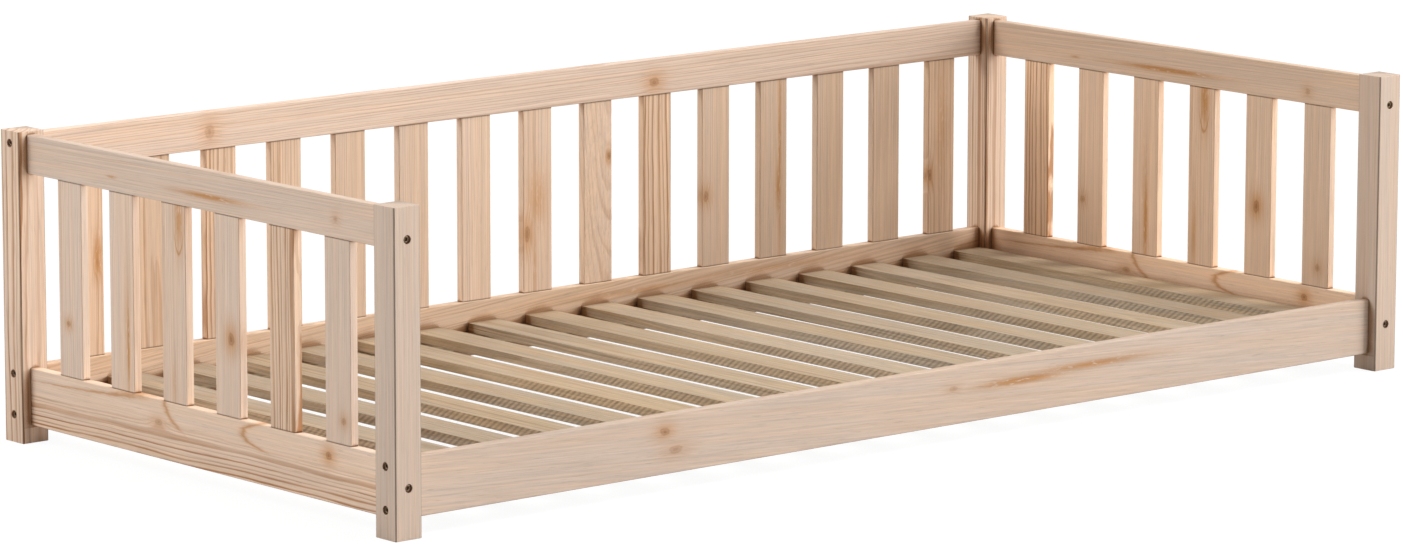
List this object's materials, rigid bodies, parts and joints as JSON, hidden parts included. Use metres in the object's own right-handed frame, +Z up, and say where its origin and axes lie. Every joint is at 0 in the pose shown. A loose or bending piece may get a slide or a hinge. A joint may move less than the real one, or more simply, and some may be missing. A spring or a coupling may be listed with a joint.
{
  "type": "toddler floor bed",
  "caption": "Low pine floor bed: corner posts, slatted back and ends, a low open front rail and a slatted deck for a mattress.",
  "frame": {"origin": "on the floor under the middle of the bed, which is the bottom centre of its box", "axes": "+X along the bed from its left end to its right end, +Y from the open front to the slatted back, +Z up"},
  "size_m": [2.075, 0.98, 0.486],
  "materials": {
    "rail_pine": "planed pine, sanded and left bare or oiled, with open grain and small knots",
    "deck_pine": "sawn and lightly planed pine, duller and rougher than the frame",
    "bolt_steel": "bronze-coloured plating, worn a little at the socket",
    "plated_steel": "yellow zinc plating"
  },
  "bodies": {
    "root": {"front_left_post": "rail_pine", "back_left_post": "rail_pine", "left_end_bottom_rail": "rail_pine", "left_end_top_rail": "rail_pine", "left_end_slat_1": "rail_pine", "left_end_slat_2": "rail_pine", "left_end_slat_3": "rail_pine", "left_end_slat_4": "rail_pine", "left_end_slat_5": "rail_pine", "left_end_slat_6": "rail_pine", "front_right_post": "rail_pine", "back_right_post": "rail_pine", "right_end_bottom_rail": "rail_pine", "right_end_top_rail": "rail_pine", "right_end_slat_1": "rail_pine", "right_end_slat_2": "rail_pine", "right_end_slat_3": "rail_pine", "right_end_slat_4": "rail_pine", "right_end_slat_5": "rail_pine", "right_end_slat_6": "rail_pine", "front_rail": "rail_pine", "back_bottom_rail": "rail_pine", "back_top_rail": "rail_pine", "back_slat_01": "rail_pine", "back_slat_02": "rail_pine", "back_slat_03": "rail_pine", "back_slat_04": "rail_pine", "back_slat_05": "rail_pine", "back_slat_06": "rail_pine", "back_slat_07": "rail_pine", "back_slat_08": "rail_pine", "back_slat_09": "rail_pine", "back_slat_10": "rail_pine", "back_slat_11": "rail_pine", "back_slat_12": "rail_pine", "back_slat_13": "rail_pine", "back_slat_14": "rail_pine", "back_slat_15": "rail_pine", "deck_slat_01": "deck_pine", "deck_slat_02": "deck_pine", "deck_slat_03": "deck_pine", "deck_slat_04": "deck_pine", "deck_slat_05": "deck_pine", "deck_slat_06": "deck_pine", "deck_slat_07": "deck_pine", "deck_slat_08": "deck_pine", "deck_slat_09": "deck_pine", "deck_slat_10": "deck_pine", "deck_slat_11": "deck_pine", "deck_slat_12": "deck_pine", "deck_slat_13": "deck_pine", "deck_slat_14": "deck_pine", "deck_slat_15": "deck_pine", "deck_slat_16": "deck_pine", "deck_slat_17": "deck_pine", "front_slat_ledge": "deck_pine", "back_slat_ledge": "deck_pine", "connector_bolts": "bolt_steel", "threaded_inserts": "plated_steel", "wood_screws": "plated_steel"}
  },
  "joints": []
}
